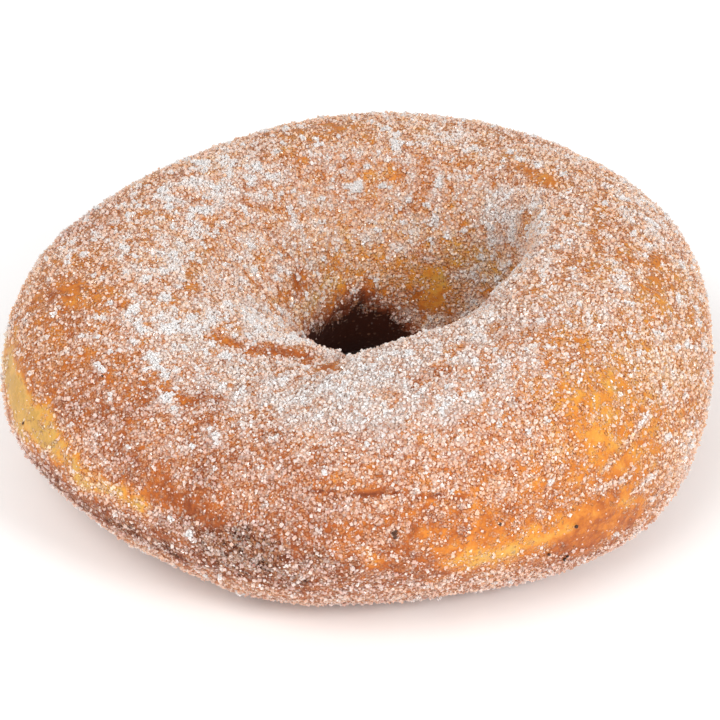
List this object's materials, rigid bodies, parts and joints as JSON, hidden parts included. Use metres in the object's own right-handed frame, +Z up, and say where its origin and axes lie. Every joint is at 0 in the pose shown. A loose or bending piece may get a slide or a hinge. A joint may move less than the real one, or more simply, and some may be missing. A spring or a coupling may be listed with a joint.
{
  "type": "ring doughnut",
  "caption": "Hand-shaped fried ring doughnut with an off-centre funnel hole, a tucked fold on its lip and a coat of granulated sugar.",
  "frame": {"origin": "on the resting plane, under the middle of the ring's outline", "axes": "+Z up through the hole, -Y towards the side with the tucked fold on the lip of the hole"},
  "size_m": [0.0944, 0.097, 0.034],
  "materials": {
    "crust": "golden brown fried crust, paler along the side, frosted with sugar",
    "sugar": "loose granulated sugar, translucent off-white crystals"
  },
  "bodies": {
    "root": {"doughnut": "crust"}
  },
  "joints": []
}
